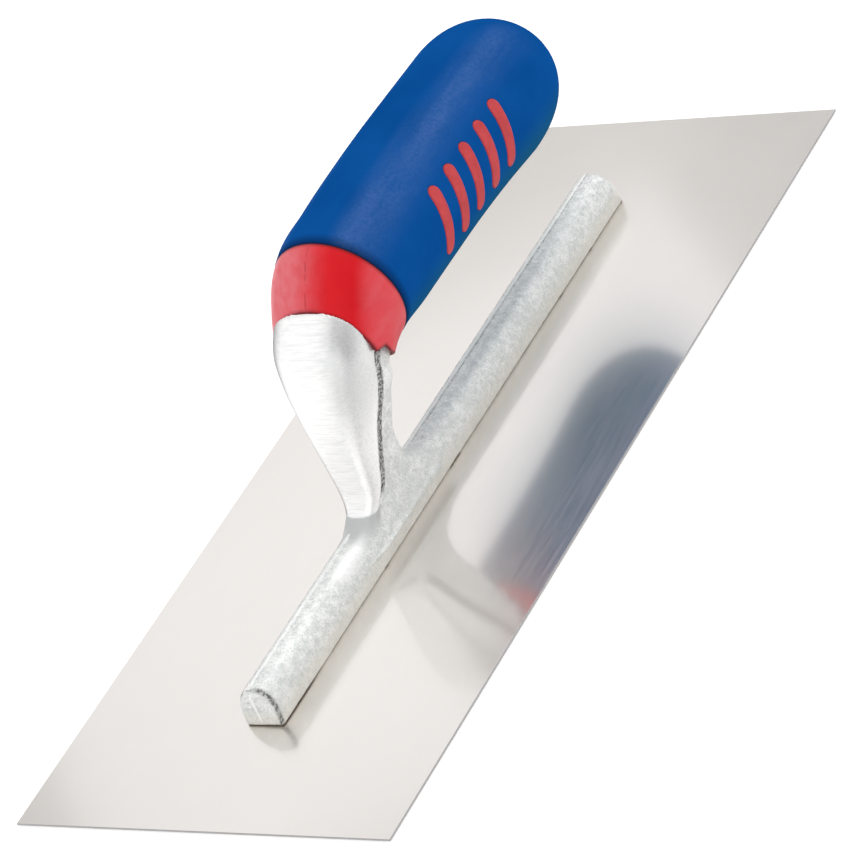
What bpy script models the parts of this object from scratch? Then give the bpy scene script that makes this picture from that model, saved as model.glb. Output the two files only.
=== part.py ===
"""Steel finishing trowel: flat blade, cast mounting and a two-colour soft-grip handle.

Frame: the origin is on the blade's working face, at its centre. +Y runs along the
blade towards the heel, where the handle's round end is, +X is the right-hand side and
+Z points up, away from the work. All lengths below are millimetres and angles degrees.
"""

import math

import bmesh
import bpy
from mathutils import Matrix, Vector

MM = 0.001
FIT_GAP = 0.3

# Blade: one flat ground plate.
BLADE_LENGTH = 280.0
BLADE_WIDTH = 115.0
BLADE_THICKNESS = 0.7

# Mounting bar: D-shaped in section, with both ends sloped back.
BAR_HALF_WIDTH = 5.8
BAR_TOP = 11.3
BAR_SHOULDER = 4.6
BAR_TOE_BASE = -103.7
BAR_TOE_TOP = -101.9
BAR_HEEL_BASE = 104.6
BAR_HEEL_TOP = 103.2
BAR_ARC_STEPS = 12

# Rivets: countersunk from below, one row along the centre line.
RIVET_COUNT = 8
RIVET_PITCH = 27.0
RIVET_HEAD_RADIUS = 2.9
RIVET_SHANK_RADIUS = 1.7
RIVET_HEAD_RECESS = 0.06
RIVET_TOP = 6.0
RIVET_SEGMENTS = 16

# Gooseneck: each row is one section. The plane of a section holds the X direction and
# the line from the front point (y, z) to the back point (y, z). The ground front face
# is half an ellipse, wide at its rim; the web behind the rim is narrower.
# front y, front z, back y, back z, rim half-width, rim depth, web half-width
NECK_SECTIONS = (
    (-43.5, 5.0, -8.0, 5.0, 4.2, 6.0, 4.2),
    (-41.8, 10.4, -12.0, 10.8, 4.8, 5.6, 4.7),
    (-39.8, 13.6, -14.8, 14.0, 5.3, 5.2, 4.5),
    (-38.0, 17.5, -15.8, 17.5, 5.8, 5.6, 4.4),
    (-37.6, 24.0, -15.0, 24.0, 7.1, 7.1, 4.8),
    (-37.4, 33.0, -10.9, 31.5, 9.2, 9.3, 6.0),
    (-36.4, 42.0, -9.0, 36.5, 11.4, 11.4, 7.9),
    (-34.6, 50.0, -8.0, 39.0, 13.1, 12.4, 9.8),
    (-30.6, 58.4, -7.2, 40.2, 14.4, 12.2, 11.6),
    (-24.4, 64.0, -6.0, 41.0, 14.8, 12.0, 13.0),
    (-16.0, 69.0, -2.0, 43.0, 15.0, 12.0, 13.4),
)
NECK_ARC_STEPS = 7

# Handle: the outer surface is a row of circles across Y: y, axis height, radius.
# The joint of collar and grip leans: its y falls as it rises.
COLLAR_CIRCLES = (
    (-26.0, 46.0, 15.6),
    (-22.2, 49.4, 16.3),
    (-17.4, 54.1, 17.3),
    (-12.2, 58.2, 18.1),
    (-7.5, 60.05, 18.5),
)
JOINT_LEAN = -0.08
GRIP_CIRCLES = (
    (-7.5, 60.05, 18.5),
    (7.0, 60.7, 19.1),
    (23.0, 60.95, 19.35),
    (39.0, 60.75, 19.45),
    (55.0, 60.05, 19.6),
    (72.0, 58.9, 20.0),
)
DOME_LENGTH = 27.0
DOME_DROP = 1.8
DOME_POWER = 2.25
DOME_STEPS = 6
HANDLE_SEGMENTS = 36
GRIP_WALL = 2.5

# Front edge of the collar, seen from the side: straight down, a small step, then a
# slope back to the underside. Each pair is y, z.
COLLAR_EDGE = (
    (-22.0, 90.0),
    (-22.0, 52.7),
    (-19.2, 52.3),
    (-17.9, 49.1),
    (-9.6, 41.4),
    (-9.6, 30.0),
)

# Inlays: raised pads of the core that show through windows in the grip. Each row is
# y, height on the side face, half-length, half-width and lean from vertical.
INLAY_PADS = (
    (20.0, 61.0, 9.4, 2.1, 15.0),
    (29.0, 61.0, 9.4, 2.1, 15.0),
    (38.0, 61.0, 9.4, 2.1, 15.0),
    (47.0, 61.0, 9.4, 2.1, 15.0),
    (56.0, 61.0, 9.4, 2.1, 15.0),
)
INLAY_ROUND_STEPS = 6

# Straight line of the tang and its bolt: it drops a little towards the rear.
TANG_START = (0.0, -7.5, 60.4)
TANG_DROP_ANGLE = 1.8
TANG_ROOT = -2.0
SPIGOT_INSET = 3.6
SPIGOT_LENGTH = 6.0
TANG_RADIUS = 6.5
TANG_END = 66.0
TAPPED_DEPTH = 24.0
BOLT_RADIUS = 2.9
BOLT_CLEARANCE_RADIUS = 3.3
BOLT_HEAD_RADIUS = 4.6
BOLT_HEAD_HEIGHT = 3.4
WASHER_RADIUS = 5.6
WASHER_THICKNESS = 1.2
COUNTERBORE_RADIUS = 6.3
COUNTERBORE_FLOOR = 78.0
PLUG_RADIUS = 6.0
PLUG_LENGTH = 6.0


def material(name, colour, metallic, roughness):
    """Return a Principled material."""
    made = bpy.data.materials.new(name)
    made.use_nodes = True
    shader = made.node_tree.nodes["Principled BSDF"]
    shader.inputs["Base Color"].default_value = (*colour, 1.0)
    shader.inputs["Metallic"].default_value = metallic
    shader.inputs["Roughness"].default_value = roughness
    return made


def clear_scene():
    """Remove whatever the scene held before."""
    for item in list(bpy.data.objects):
        bpy.data.objects.remove(item)


def mesh_object(name, build):
    """Make an object and let build fill its bmesh in millimetres."""
    mesh = bpy.data.meshes.new(name)
    bm = bmesh.new()
    build(bm)
    bmesh.ops.triangulate(bm, faces=bm.faces)
    bmesh.ops.recalc_face_normals(bm, faces=bm.faces)
    bmesh.ops.scale(bm, vec=(MM, MM, MM), verts=bm.verts)
    bm.to_mesh(mesh)
    bm.free()
    made = bpy.data.objects.new(name, mesh)
    bpy.context.collection.objects.link(made)
    return made


def loft(bm, rings):
    """Skin a list of equal-length rings of points and close both ends."""
    loops = [[bm.verts.new(point) for point in ring] for ring in rings]
    count = len(loops[0])
    for lower, upper in zip(loops, loops[1:]):
        for i in range(count):
            j = (i + 1) % count
            bm.faces.new((lower[i], lower[j], upper[j], upper[i]))
    bm.faces.new(list(reversed(loops[0])))
    bm.faces.new(loops[-1])


def lathe(bm, profile, segments):
    """Spin (station, radius) pairs about +Y. A zero radius closes an end in a point."""
    loops = []
    for station, radius in profile:
        if radius == 0.0:
            loops.append([bm.verts.new((0.0, station, 0.0))])
            continue
        ring = []
        for i in range(segments):
            angle = 2.0 * math.pi * i / segments
            x = radius * math.cos(angle)
            z = radius * math.sin(angle)
            ring.append(bm.verts.new((x, station, z)))
        loops.append(ring)
    for lower, upper in zip(loops, loops[1:]):
        for i in range(segments):
            j = (i + 1) % segments
            corners = [lower[i % len(lower)], lower[j % len(lower)]]
            corners += [upper[j % len(upper)], upper[i % len(upper)]]
            bm.faces.new(list(dict.fromkeys(corners)))


def prism(bm, outline, low, high):
    """Extrude a closed (y, z) outline across X from low to high."""
    rings = [[(x, y, z) for y, z in outline] for x in (low, high)]
    loft(bm, rings)


def boolean(target, tools, operation):
    """Cut or join tools into the target with exact solids, then drop the tools."""
    for tool in tools:
        step = target.modifiers.new(operation.title(), "BOOLEAN")
        step.object = tool
        step.operation = operation
        step.solver = "EXACT"
    bpy.context.view_layer.update()
    graph = bpy.context.evaluated_depsgraph_get()
    result = bpy.data.meshes.new_from_object(target.evaluated_get(graph))
    target.modifiers.clear()
    target.data = result
    for tool in tools:
        bpy.data.objects.remove(tool)


def finish(target, look, parent, smooth_angle=32.0):
    """Give the object its material, smooth shading and parent."""
    target.data.materials.clear()
    target.data.materials.append(look)
    target.data.shade_smooth()
    target.data.set_sharp_from_angle(angle=math.radians(smooth_angle))
    target.parent = parent


def blade():
    """Flat plate with a countersunk hole for each rivet."""

    def build(bm):
        bmesh.ops.create_cube(bm, size=1.0)
        size = (BLADE_WIDTH, BLADE_LENGTH, BLADE_THICKNESS)
        bmesh.ops.scale(bm, vec=size, verts=bm.verts)
        bmesh.ops.translate(bm, vec=(0.0, 0.0, BLADE_THICKNESS / 2.0), verts=bm.verts)

    plate = mesh_object("blade", build)
    holes = [upright_lathe("hole", countersink_profile(), y) for y in rivet_rows()]
    boolean(plate, holes, "DIFFERENCE")
    return plate


def rivet_rows():
    """Positions of the rivets along Y."""
    first = -0.5 * RIVET_PITCH * (RIVET_COUNT - 1)
    return [first + RIVET_PITCH * i for i in range(RIVET_COUNT)]


def countersink_profile():
    """Countersunk hole of the blade as (height, radius), longer than the plate."""
    slope = (RIVET_HEAD_RADIUS - RIVET_SHANK_RADIUS) / BLADE_THICKNESS
    wide = RIVET_HEAD_RADIUS + FIT_GAP
    over = 0.4
    return (
        (-over, 0.0),
        (-over, wide + slope * over),
        (BLADE_THICKNESS + over, wide - slope * (BLADE_THICKNESS + over)),
        (BLADE_THICKNESS + over, 0.0),
    )


def rivet_profile():
    """Rivet as (height, radius): a flush conical head and a plain shank."""
    return (
        (RIVET_HEAD_RECESS, 0.0),
        (RIVET_HEAD_RECESS, RIVET_HEAD_RADIUS),
        (BLADE_THICKNESS, RIVET_SHANK_RADIUS),
        (RIVET_TOP - 0.5, RIVET_SHANK_RADIUS),
        (RIVET_TOP, RIVET_SHANK_RADIUS - 0.5),
        (RIVET_TOP, 0.0),
    )


def upright_lathe(name, profile, y):
    """Spin a (height, radius) profile about +Z and stand it on the centre line."""

    def build(bm):
        lathe(bm, profile, RIVET_SEGMENTS)
        turn = Matrix.Rotation(math.radians(90.0), 3, "X")
        bmesh.ops.rotate(bm, matrix=turn, verts=bm.verts)

    made = mesh_object(name, build)
    made.location = (0.0, y * MM, 0.0)
    return made


def bar_section(y_base, y_top):
    """D-shaped section whose points lean from y_base at the foot to y_top at the crown."""
    foot = BLADE_THICKNESS + FIT_GAP
    half = [(BAR_HALF_WIDTH, foot)]
    for i in range(BAR_ARC_STEPS // 2 + 1):
        angle = math.radians(90.0) * i / (BAR_ARC_STEPS // 2)
        rise = (BAR_TOP - BAR_SHOULDER) * math.sin(angle)
        half.append((BAR_HALF_WIDTH * math.cos(angle) ** 0.8, BAR_SHOULDER + rise))
    half[-1] = (0.0, BAR_TOP)
    outline = half + [(-x, z) for x, z in reversed(half[:-1])]
    ring = []
    for x, z in outline:
        share = (z - foot) / (BAR_TOP - foot)
        ring.append((x, y_base + (y_top - y_base) * share, z))
    return ring


def neck_section(row):
    """One closed ring of the gooseneck."""
    front = Vector((0.0, row[0], row[1]))
    back = Vector((0.0, row[2], row[3]))
    rim, depth, web = row[4:]
    length = (back - front).length
    half = []
    for i in range(NECK_ARC_STEPS + 1):
        angle = math.radians(90.0) * i / NECK_ARC_STEPS
        half.append((rim * math.sin(angle), depth * (1.0 - math.cos(angle))))
    step = min(1.4, 0.25 * (length - depth))
    half.append((web, depth + step))
    rest = length - depth - step
    flat = max(0.15 * rest, rest - web)
    half.append((web, depth + step + flat))
    for angle in (30.0, 60.0):
        bend = math.radians(angle)
        x = web * math.cos(bend)
        half.append((x, depth + step + flat + (rest - flat) * math.sin(bend)))
    half.append((0.0, length))
    outline = half + [(-x, s) for x, s in reversed(half[1:-1])]
    along = (back - front).normalized()
    return [front + along * s + Vector((x, 0.0, 0.0)) for x, s in outline]


def behind_edge(shift):
    """Closed (y, z) outline of everything behind the collar's front edge."""
    edge = [(y + shift, z) for y, z in COLLAR_EDGE]
    return edge + [(60.0, COLLAR_EDGE[-1][1]), (60.0, COLLAR_EDGE[0][1])]


def ahead_of_edge():
    """Closed (y, z) outline of everything in front of the collar's edge."""
    return list(COLLAR_EDGE) + [(-60.0, COLLAR_EDGE[-1][1]), (-60.0, COLLAR_EDGE[0][1])]


def tang_frame():
    """Placement of the handle's bore: stations run along it from the collar."""
    turn = Matrix.Rotation(math.radians(-TANG_DROP_ANGLE), 4, "X")
    return Matrix.Translation(Vector(TANG_START) * MM) @ turn


def along_tang(name, profile, segments):
    """Spin a (y, radius) profile about the line of the tang."""

    def build(bm):
        shifted = [(y - TANG_START[1], radius) for y, radius in profile]
        lathe(bm, shifted, segments)

    made = mesh_object(name, build)
    made.matrix_world = tang_frame()
    return made


def spigot_rings(clearance):
    """Rings of the casting's nose inside the collar, grown for its pocket."""
    inset = SPIGOT_INSET - clearance
    rows = [(y, height, radius - inset) for y, height, radius in COLLAR_CIRCLES]
    y, height, radius = rows[-1]
    rows.append((y + SPIGOT_LENGTH + clearance, height, radius))
    return [circle(*row) for row in rows]


def bore_profile():
    """Bore of the core behind the collar as (y, radius), up to the rear end."""
    return (
        (TANG_ROOT, 0.0),
        (TANG_ROOT, TANG_RADIUS + FIT_GAP),
        (TANG_END + FIT_GAP, TANG_RADIUS + FIT_GAP),
        (TANG_END + FIT_GAP, BOLT_CLEARANCE_RADIUS),
        (COUNTERBORE_FLOOR, BOLT_CLEARANCE_RADIUS),
        (COUNTERBORE_FLOOR, COUNTERBORE_RADIUS),
        (110.0, COUNTERBORE_RADIUS),
        (110.0, 0.0),
    )


def mounting_casting():
    """Bar, gooseneck, spigot and tang in one piece."""

    def build_bar(bm):
        loft(bm, [
            bar_section(BAR_TOE_BASE, BAR_TOE_TOP),
            bar_section(BAR_HEEL_BASE, BAR_HEEL_TOP),
        ])

    def build_neck(bm):
        loft(bm, [neck_section(row) for row in NECK_SECTIONS])

    bar = mesh_object("mounting_casting", build_bar)
    neck = mesh_object("neck", build_neck)
    rear = mesh_object("rear", lambda bm: prism(bm, behind_edge(-0.35), -40.0, 40.0))
    boolean(neck, [rear], "DIFFERENCE")
    spigot = mesh_object("spigot", lambda bm: loft(bm, spigot_rings(0.0)))
    tang_profile = (
        (TANG_ROOT - 6.0, 0.0),
        (TANG_ROOT - 6.0, TANG_RADIUS),
        (TANG_END - 1.0, TANG_RADIUS),
        (TANG_END, TANG_RADIUS - 1.0),
        (TANG_END, 0.0),
    )
    tang = along_tang("tang", tang_profile, 28)
    boolean(bar, [neck, spigot, tang], "UNION")
    holes = [upright_lathe("hole", rivet_hole_profile(), y) for y in rivet_rows()]
    tapped = (
        (TANG_END - TAPPED_DEPTH, 0.0),
        (TANG_END - TAPPED_DEPTH, BOLT_CLEARANCE_RADIUS),
        (TANG_END + 5.0, BOLT_CLEARANCE_RADIUS),
        (TANG_END + 5.0, 0.0),
    )
    boolean(bar, holes + [along_tang("tapped", tapped, 20)], "DIFFERENCE")
    return bar


def rivet_hole_profile():
    """Blind hole in the bar as (height, radius)."""
    radius = RIVET_SHANK_RADIUS + FIT_GAP
    top = RIVET_TOP + FIT_GAP
    return ((0.0, 0.0), (0.0, radius), (top, radius), (top + 0.8, 0.0))


def circle(y, height, radius, lean=0.0):
    """Ring of the handle's surface across Y, leaning by so much per unit of height."""
    ring = []
    for i in range(HANDLE_SEGMENTS):
        angle = 2.0 * math.pi * i / HANDLE_SEGMENTS
        x = radius * math.cos(angle)
        rise = radius * math.sin(angle)
        ring.append((x, y + lean * rise, height + rise))
    return ring


def grip_rings(inset, setback=0.0):
    """Rings of the grip's surface, moved inwards by inset, up to the rounded end."""
    joint_y, joint_height, joint_radius = GRIP_CIRCLES[0]
    joint_y += setback
    rings = [circle(joint_y, joint_height, joint_radius - inset, JOINT_LEAN)]
    for y, height, radius in GRIP_CIRCLES[1:]:
        rings.append(circle(y, height, radius - inset))
    base_y, base_height, base_radius = GRIP_CIRCLES[-1]
    for i in range(1, DOME_STEPS + 1):
        angle = math.radians(90.0) * i / (DOME_STEPS + 0.35)
        share = math.sin(angle)
        narrow = (1.0 - share ** DOME_POWER) ** (1.0 / DOME_POWER)
        y = base_y + (DOME_LENGTH - inset) * share
        height = base_height - DOME_DROP * share ** 1.6
        rings.append(circle(y, height, (base_radius - inset) * narrow))
    return rings


def inlay_prism(name, row, shrink):
    """Upright slot shape on the +X side, through the grip's wall."""
    y, height, half_length, half_width, lean = row
    radius = half_width - shrink
    straight = half_length - half_width
    outline = []
    for side in (1.0, -1.0):
        for i in range(INLAY_ROUND_STEPS + 1):
            angle = math.radians(180.0) * i / INLAY_ROUND_STEPS
            across = side * radius * math.cos(angle)
            along = side * (straight + radius * math.sin(angle))
            outline.append((across, along))
    turn = math.radians(lean)
    placed = []
    for across, along in outline:
        py = y + across * math.cos(turn) + along * math.sin(turn)
        pz = height - across * math.sin(turn) + along * math.cos(turn)
        placed.append((py, pz))
    return mesh_object(name, lambda bm: prism(bm, placed, 8.0, 26.0))


def handle_core():
    """Hard core: the visible collar, the hidden body and the raised inlay pads."""
    inset = GRIP_WALL + FIT_GAP

    def build(bm):
        rings = [circle(*row) for row in COLLAR_CIRCLES[:-1]]
        rings.append(circle(*COLLAR_CIRCLES[-1], JOINT_LEAN))
        rings += grip_rings(inset)
        loft(bm, rings)

    core = mesh_object("handle_core", build)
    front = mesh_object("front", lambda bm: prism(bm, ahead_of_edge(), -40.0, 40.0))
    boolean(core, [front], "DIFFERENCE")
    pads = []
    for row in INLAY_PADS:
        pad = inlay_prism("pad", row, FIT_GAP)
        skin = mesh_object("skin", lambda bm: loft(bm, grip_rings(0.1)))
        boolean(pad, [skin], "INTERSECT")
        pads.append(pad)
    boolean(core, pads, "UNION")
    pocket = mesh_object("pocket", lambda bm: loft(bm, spigot_rings(FIT_GAP)))
    bore = along_tang("bore", bore_profile(), 28)
    boolean(core, [pocket, bore], "DIFFERENCE")
    return core


def soft_grip():
    """Soft sleeve over the core, open at the collar, with a window for each inlay."""
    sleeve = mesh_object("soft_grip", lambda bm: loft(bm, grip_rings(0.0, FIT_GAP)))
    cavity = mesh_object("cavity", lambda bm: loft(bm, grip_rings(GRIP_WALL, -4.0)))
    windows = [inlay_prism("window", row, 0.0) for row in INLAY_PADS]
    hole_profile = (
        (80.0, 0.0),
        (80.0, COUNTERBORE_RADIUS),
        (110.0, COUNTERBORE_RADIUS),
        (110.0, 0.0),
    )
    hole = along_tang("hole", hole_profile, 28)
    boolean(sleeve, [cavity, hole] + windows, "DIFFERENCE")
    return sleeve


def tang_bolt():
    """Cap bolt with a hexagon socket."""
    seat = COUNTERBORE_FLOOR + WASHER_THICKNESS + 2.0 * FIT_GAP
    top = seat + BOLT_HEAD_HEIGHT
    profile = (
        (TANG_END - TAPPED_DEPTH + 2.0, 0.0),
        (TANG_END - TAPPED_DEPTH + 2.0, BOLT_RADIUS - 0.5),
        (TANG_END - TAPPED_DEPTH + 2.8, BOLT_RADIUS),
        (seat, BOLT_RADIUS),
        (seat, BOLT_HEAD_RADIUS),
        (top - 0.4, BOLT_HEAD_RADIUS),
        (top, BOLT_HEAD_RADIUS - 0.4),
        (top, 0.0),
    )
    bolt = along_tang("tang_bolt", profile, 24)
    socket_profile = (
        (top - 2.2, 0.0),
        (top - 2.2, 2.3),
        (top + 1.0, 2.3),
        (top + 1.0, 0.0),
    )
    boolean(bolt, [along_tang("socket", socket_profile, 6)], "DIFFERENCE")
    return bolt


def bolt_washer():
    """Plain washer under the bolt's head."""
    low = COUNTERBORE_FLOOR + FIT_GAP
    high = low + WASHER_THICKNESS
    inner = BOLT_CLEARANCE_RADIUS
    outer = WASHER_RADIUS
    profile = ((low, inner), (low, outer), (high, outer), (high, inner), (low, inner))

    def build(bm):
        lathe(bm, [(y - TANG_START[1], radius) for y, radius in profile], 24)
        bmesh.ops.remove_doubles(bm, verts=bm.verts, dist=0.01)

    washer = mesh_object("bolt_washer", build)
    washer.matrix_world = tang_frame()
    return washer


def end_plug():
    """Slightly domed plug that closes the counterbore at the rear end."""
    rear = GRIP_CIRCLES[-1][0] + DOME_LENGTH
    profile = (
        (rear - 0.9 - PLUG_LENGTH, 0.0),
        (rear - 0.9 - PLUG_LENGTH, PLUG_RADIUS - 0.4),
        (rear - 0.5 - PLUG_LENGTH, PLUG_RADIUS),
        (rear - 1.2, PLUG_RADIUS),
        (rear - 0.7, PLUG_RADIUS - 0.5),
        (rear - 0.3, PLUG_RADIUS - 2.5),
        (rear - 0.2, 0.0),
    )
    return along_tang("end_plug", profile, 28)


def main():
    clear_scene()
    trowel = bpy.data.objects.new("trowel", None)
    bpy.context.collection.objects.link(trowel)
    steel = material("Blade stainless steel", (0.80, 0.78, 0.76), 1.0, 0.22)
    cast = material("Cast aluminium", (0.78, 0.79, 0.78), 1.0, 0.38)
    rivet_steel = material("Rivet steel", (0.70, 0.70, 0.69), 1.0, 0.30)
    bolt_steel = material("Zinc plated steel", (0.62, 0.62, 0.60), 1.0, 0.35)
    red = material("Red hard plastic", (0.62, 0.017, 0.027), 0.0, 0.38)
    blue = material("Blue soft plastic", (0.005, 0.091, 0.33), 0.0, 0.62)
    finish(blade(), steel, trowel)
    finish(mounting_casting(), cast, trowel)
    rivet_mesh = None
    for number, y in enumerate(rivet_rows(), start=1):
        rivet = upright_lathe(f"rivet_{number}", rivet_profile(), y)
        rivet_mesh = rivet_mesh or rivet.data
        rivet.data = rivet_mesh
        finish(rivet, rivet_steel, trowel)
    finish(handle_core(), red, trowel)
    finish(soft_grip(), blue, trowel)
    finish(tang_bolt(), bolt_steel, trowel)
    finish(bolt_washer(), bolt_steel, trowel)
    finish(end_plug(), red, trowel)


main()
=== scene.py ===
"""Looks of the steel finishing trowel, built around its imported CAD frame.

The casting is polygonised from a distance field, so that the gooseneck flows into the
bar with real fillets. The handle is swept from circles. All helper lengths are
millimetres and all meshes are written in metres.
"""

import functools
import itertools
import math

import bmesh
import bpy
import numpy as np
from mathutils import Matrix, Vector, noise


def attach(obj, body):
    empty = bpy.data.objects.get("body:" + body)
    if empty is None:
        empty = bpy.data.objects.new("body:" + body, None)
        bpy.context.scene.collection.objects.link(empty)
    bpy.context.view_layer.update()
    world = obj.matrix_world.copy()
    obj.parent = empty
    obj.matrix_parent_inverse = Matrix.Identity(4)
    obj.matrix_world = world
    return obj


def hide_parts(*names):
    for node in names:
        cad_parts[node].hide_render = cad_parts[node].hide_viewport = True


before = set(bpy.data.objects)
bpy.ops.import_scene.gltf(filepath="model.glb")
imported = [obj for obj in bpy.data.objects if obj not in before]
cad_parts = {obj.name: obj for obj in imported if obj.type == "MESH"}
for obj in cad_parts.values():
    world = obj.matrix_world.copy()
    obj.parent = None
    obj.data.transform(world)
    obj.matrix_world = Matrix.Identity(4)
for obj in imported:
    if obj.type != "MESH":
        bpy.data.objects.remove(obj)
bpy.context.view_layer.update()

MM = 0.001

# Camera: place, axes and lens.
CAMERA_PLACE = (708.7, -760.4, 655.6)
CAMERA_RIGHT = (0.8147, 0.4288, -0.3904)
CAMERA_UP = (0.0160, 0.6564, 0.7543)
CAMERA_BACK = (0.5797, -0.6207, 0.5279)
CAMERA_LENS = 198.43

# Darker parts of the sky: direction, inner and outer degrees, and depth.
SKY_LOBES = (
    ((0.58, -0.60, 0.55), 6.0, 34.0, 0.55),
    ((0.82, -0.50, 0.16), 8.0, 34.0, 0.50),
    ((-0.97, 0.10, 0.02), 6.0, 22.0, 0.60),
    ((-0.58, 0.62, 0.53), 10.0, 42.0, 0.40),
)

# Blade.
BLADE_LENGTH = 280.0
BLADE_WIDTH = 115.0
BLADE_THICKNESS = 0.7
BLADE_BEVEL = 0.12
RIVET_COUNT = 8
RIVET_PITCH = 27.0
COUNTERSINK_RADIUS = 3.05
RIVET_HOLE_RADIUS = 1.9
RIVET_HOLE_SIDES = 32

# Bar of the casting: a superellipse arch on straight flanks.
BAR_HALF_WIDTH = 5.8
BAR_FOOT = 0.72
BAR_SHOULDER = 4.6
BAR_TOP = 11.2
BAR_POWER = 2.5
BAR_TOE = ((-103.7, 1.0), (-101.9, 11.3))
BAR_HEEL = ((104.6, 1.0), (103.2, 11.3))

# Gooseneck: front y, front z, back y, back z, rim half-width, rim depth, web half-width.
NECK_SECTIONS = (
    (-44.0, 5.0, -8.0, 5.0, 4.2, 4.0, 4.2),
    (-42.4, 10.4, -12.0, 10.8, 4.6, 3.3, 4.7),
    (-39.8, 13.6, -14.8, 14.0, 4.9, 3.5, 4.5),
    (-38.0, 17.5, -15.8, 17.5, 6.1, 4.4, 4.5),
    (-37.3, 24.0, -15.0, 24.0, 7.5, 6.0, 5.0),
    (-36.7, 33.0, -11.6, 31.5, 9.4, 8.4, 7.6),
    (-35.6, 41.9, -11.0, 36.2, 11.6, 10.4, 10.6),
    (-33.9, 49.8, -11.2, 38.6, 13.1, 11.2, 12.4),
    (-30.2, 58.2, -11.0, 40.0, 14.2, 10.8, 12.6),
    (-24.4, 64.0, -10.0, 41.0, 14.6, 10.8, 13.2),
    (-16.0, 69.0, -6.0, 43.0, 14.8, 11.0, 13.4),
)
NECK_SAMPLES = 500
NECK_MARGIN = 9.0
RIM_FULLNESS = 2.5
RIM_BAND = 3.0
RIM_STEP = 0.9
FOOT_BLEND = 3.2
GROUND_FOOT = 13.3
NECK_FRONT = -43.5
NECK_REAR = -11.0
SHOULDER_LINE_X = -3.9

# Painted highlight on the bar ahead of the neck, a bright patch in the ground layer: centre and
# half-size, as (x, y).
HIGHLIGHT_PATCH_CENTRE = (3.1, -53.5)
HIGHLIGHT_PATCH_HALF_SIZE = (2.5, 11.5)

# Parting beads on the bar: name, start and end y, and the side below which their sides get painted
# shade.
BEAD_RUNS = (("toe_run", -101.6, NECK_FRONT, 0.0), ("heel_run", -13.5, 102.7, 1.0))
BEAD_X = -1.15
BEAD_STEP = 0.8
TOE_BEAD_STEPS = 13
BEAD_FLANK = ((0.24, 0.46), (0.46, 0.30), (0.62, 0.02), (0.78, -0.35))
BEAD_PROFILE = (*((-side, rise) for side, rise in reversed(BEAD_FLANK)), (0.0, 0.50), *BEAD_FLANK)

# Relief of the cast skin: height of its lumps and of its pits, plain and on the flash.
LUMP_HEIGHT = 0.11
PIT_HEIGHT = 0.015
FLASH_PIT_HEIGHT = 0.16

# Casting grid.
GRID_STEP = (0.36, 0.55, 0.42)
GRID_LOW = (-18.2, -106.0, 0.2)
GRID_HIGH = (18.2, 106.5, 72.0)

# Tang inside the handle.
TANG_RADIUS = 6.5
TANG_SPAN = (-10.0, 66.0)
TANG_HEIGHT = 60.4
TANG_DROP = math.tan(math.radians(1.8))

# Handle: rings across Y as (y, axis height, radius), then a rounded end.
DOME_START = 72.0
HANDLE_CIRCLES = (
    (-26.0, 46.0, 15.6),
    (-22.2, 49.4, 16.3),
    (-17.4, 54.1, 17.3),
    (-12.2, 58.2, 18.1),
    (-7.5, 60.05, 18.5),
    (7.0, 60.7, 19.1),
    (23.0, 60.9, 19.35),
    (39.0, 60.75, 19.45),
    (55.0, 60.05, 19.6),
    (DOME_START, 58.9, 20.0),
)
DOME_LENGTH = 27.0
DOME_DROP = 1.8
DOME_POWER = 2.25
JOINT_Y = -7.5
JOINT_LEAN = -0.08
JOINT_GAP = 0.12

# Collar's front edge, as (height, y).
COLLAR_EDGE = (
    (90.0, -22.0),
    (52.7, -22.0),
    (52.3, -19.2),
    (49.1, -17.9),
    (41.4, -10.8),
    (30.0, -10.8),
)

HANDLE_SEGMENTS = 192
HANDLE_ANGLES = np.linspace(0.0, 2.0 * math.pi, HANDLE_SEGMENTS, endpoint=False)
COLLAR_ROUND = 0.35
GRIP_ROUND = 0.3
GRIP_WALL = 2.5
COLLAR_SINK = 0.12

# Plug: depth below the rounded end and radius, from its inner face out.
PLUG_SIDES = 96
PLUG_PROFILE = (
    (7.0, 5.6),
    (6.6, 5.95),
    (1.5, 5.95),
    (1.1, 5.88),
    (0.85, 5.6),
    (0.6, 4.6),
    (0.42, 3.2),
    (0.34, 1.6),
    (0.31, 0.5),
)

# Inlay bars: y, height, half-length, half-width and lean in degrees.
INLAYS = tuple((y, 61.0, 9.4, 1.98, 15.0) for y in (20.0, 29.0, 38.0, 47.0, 56.0))
INLAY_GAP = 0.12
INLAY_RISE = 0.22
INLAY_DEPTH = 2.55
WINDOW_REACH = 3.0
INLAY_END_STEPS = 8
INLAY_SIDE_STEPS = 24


# -------------------- mesh helpers


def new_object(name, data, look=None):
    """Link an object that holds a mesh and its material, a light or a camera."""
    made = bpy.data.objects.new(name, data)
    bpy.context.scene.collection.objects.link(made)
    if look:
        data.materials.append(look)
    return made


def vertex_values(mesh, kind):
    """Three numbers per vertex: its place or its normal."""
    values = np.zeros(len(mesh.vertices) * 3, np.float32)
    mesh.vertices.foreach_get(kind, values)
    return values.reshape(-1, 3)


def mesh_from_arrays(name, points, quads):
    """Mesh in metres from millimetre points and quad corners."""
    mesh = bpy.data.meshes.new(name)
    mesh.vertices.add(len(points))
    mesh.vertices.foreach_set("co", (np.asarray(points) * MM).astype(np.float32).ravel())
    mesh.loops.add(len(quads) * 4)
    mesh.loops.foreach_set("vertex_index", np.asarray(quads, np.int32).ravel())
    mesh.polygons.add(len(quads))
    starts = np.arange(len(quads), dtype=np.int32) * 4
    mesh.polygons.foreach_set("loop_start", starts)
    mesh.update(calc_edges=True)
    mesh.validate()
    mesh.shade_smooth()
    return mesh


def new_loop(bm, points):
    """Vertices in metres at millimetre points."""
    return [bm.verts.new(Vector(p) * MM) for p in points]


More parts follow.
